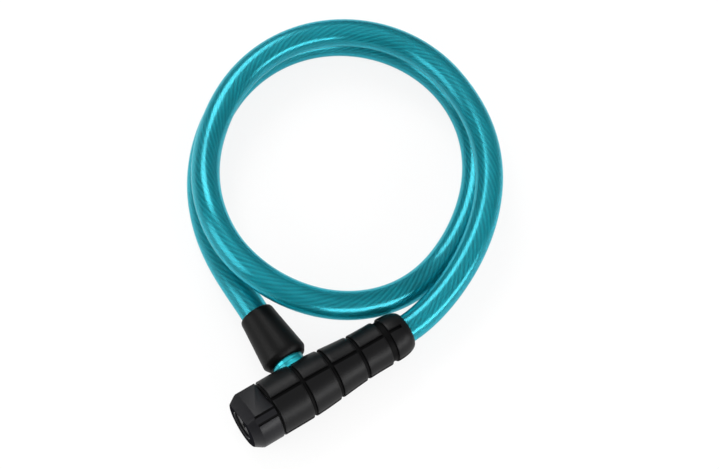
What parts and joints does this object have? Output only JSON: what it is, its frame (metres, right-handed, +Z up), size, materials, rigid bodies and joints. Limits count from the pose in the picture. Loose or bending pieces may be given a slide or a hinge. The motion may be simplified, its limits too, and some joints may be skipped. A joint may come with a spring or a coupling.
{
  "type": "cable lock",
  "caption": "Coiled coated steel cable with a key-operated lock body at one end and a plug with a grip sleeve that enters the body's side.",
  "frame": {"origin": "bottom centre of the bounding box of lock body and plug; the floor is z = 0", "axes": "+X along the lock body from its key end to its cable mouth, +Y the way the plug leaves the body, +Z up"},
  "size_m": [0.208, 0.1988, 0.04],
  "materials": {
    "cover": "matte",
    "cap": "satin",
    "zinc": "satin",
    "steel": "brushed",
    "brass": "satin",
    "key_cylinder": "satin",
    "hardened_steel": "polished",
    "seal": "matte",
    "grip": "satin",
    "collar": "gloss",
    "rope": "brushed",
    "sheath": "gloss"
  },
  "bodies": {
    "lock_body": {"rubber_jacket": "cover", "end_cap": "cap", "housing_left": "zinc", "housing_right": "zinc", "housing_rivets": "steel", "cylinder_pin": "steel", "cylinder_sleeve": "brass", "anchor_ferrule": "steel", "anchor_pin": "steel", "cable_core": "rope", "cable_sheath": "sheath"},
    "cylinder": {"key_cylinder": "key_cylinder", "drive_cam": "steel", "cam_screw": "steel", "wafer_springs": "steel"},
    "wafer_set": {"wafers": "brass"},
    "slide": {"locking_slide": "brass"},
    "plug": {"plug_sleeve": "grip", "plug_collar": "collar", "plug_ferrule": "steel", "plug_cross_pin": "steel", "locking_pin": "hardened_steel", "pin_seal": "seal"}
  },
  "joints": [
    {"name": "cylinder_turn", "type": "hinge", "parent": "lock_body", "child": "cylinder", "pos_m": [-0.02475, -0.016, 0.015], "axis": [1, 0, 0], "range_deg": [0, 90]},
    {"name": "slide_lift", "type": "slide", "parent": "lock_body", "child": "slide", "axis": [0, 0, 1], "range_m": [0, 0.00424]},
    {"name": "wafer_lift", "type": "slide", "parent": "cylinder", "child": "wafer_set", "axis": [0, 0, 1], "range_m": [0, 0.0008], "deforming": ["wafer_springs"]},
    {"name": "plug_pull", "type": "slide", "parent": "lock_body", "child": "plug", "axis": [0, 1, 0], "range_m": [0, 0.03], "deforming": ["cable_sheath", "cable_core"]}
  ],
  "couplings": [
    {"joint": "slide_lift", "follows": "cylinder_turn", "m_per_rad": 0.0027011}
  ]
}
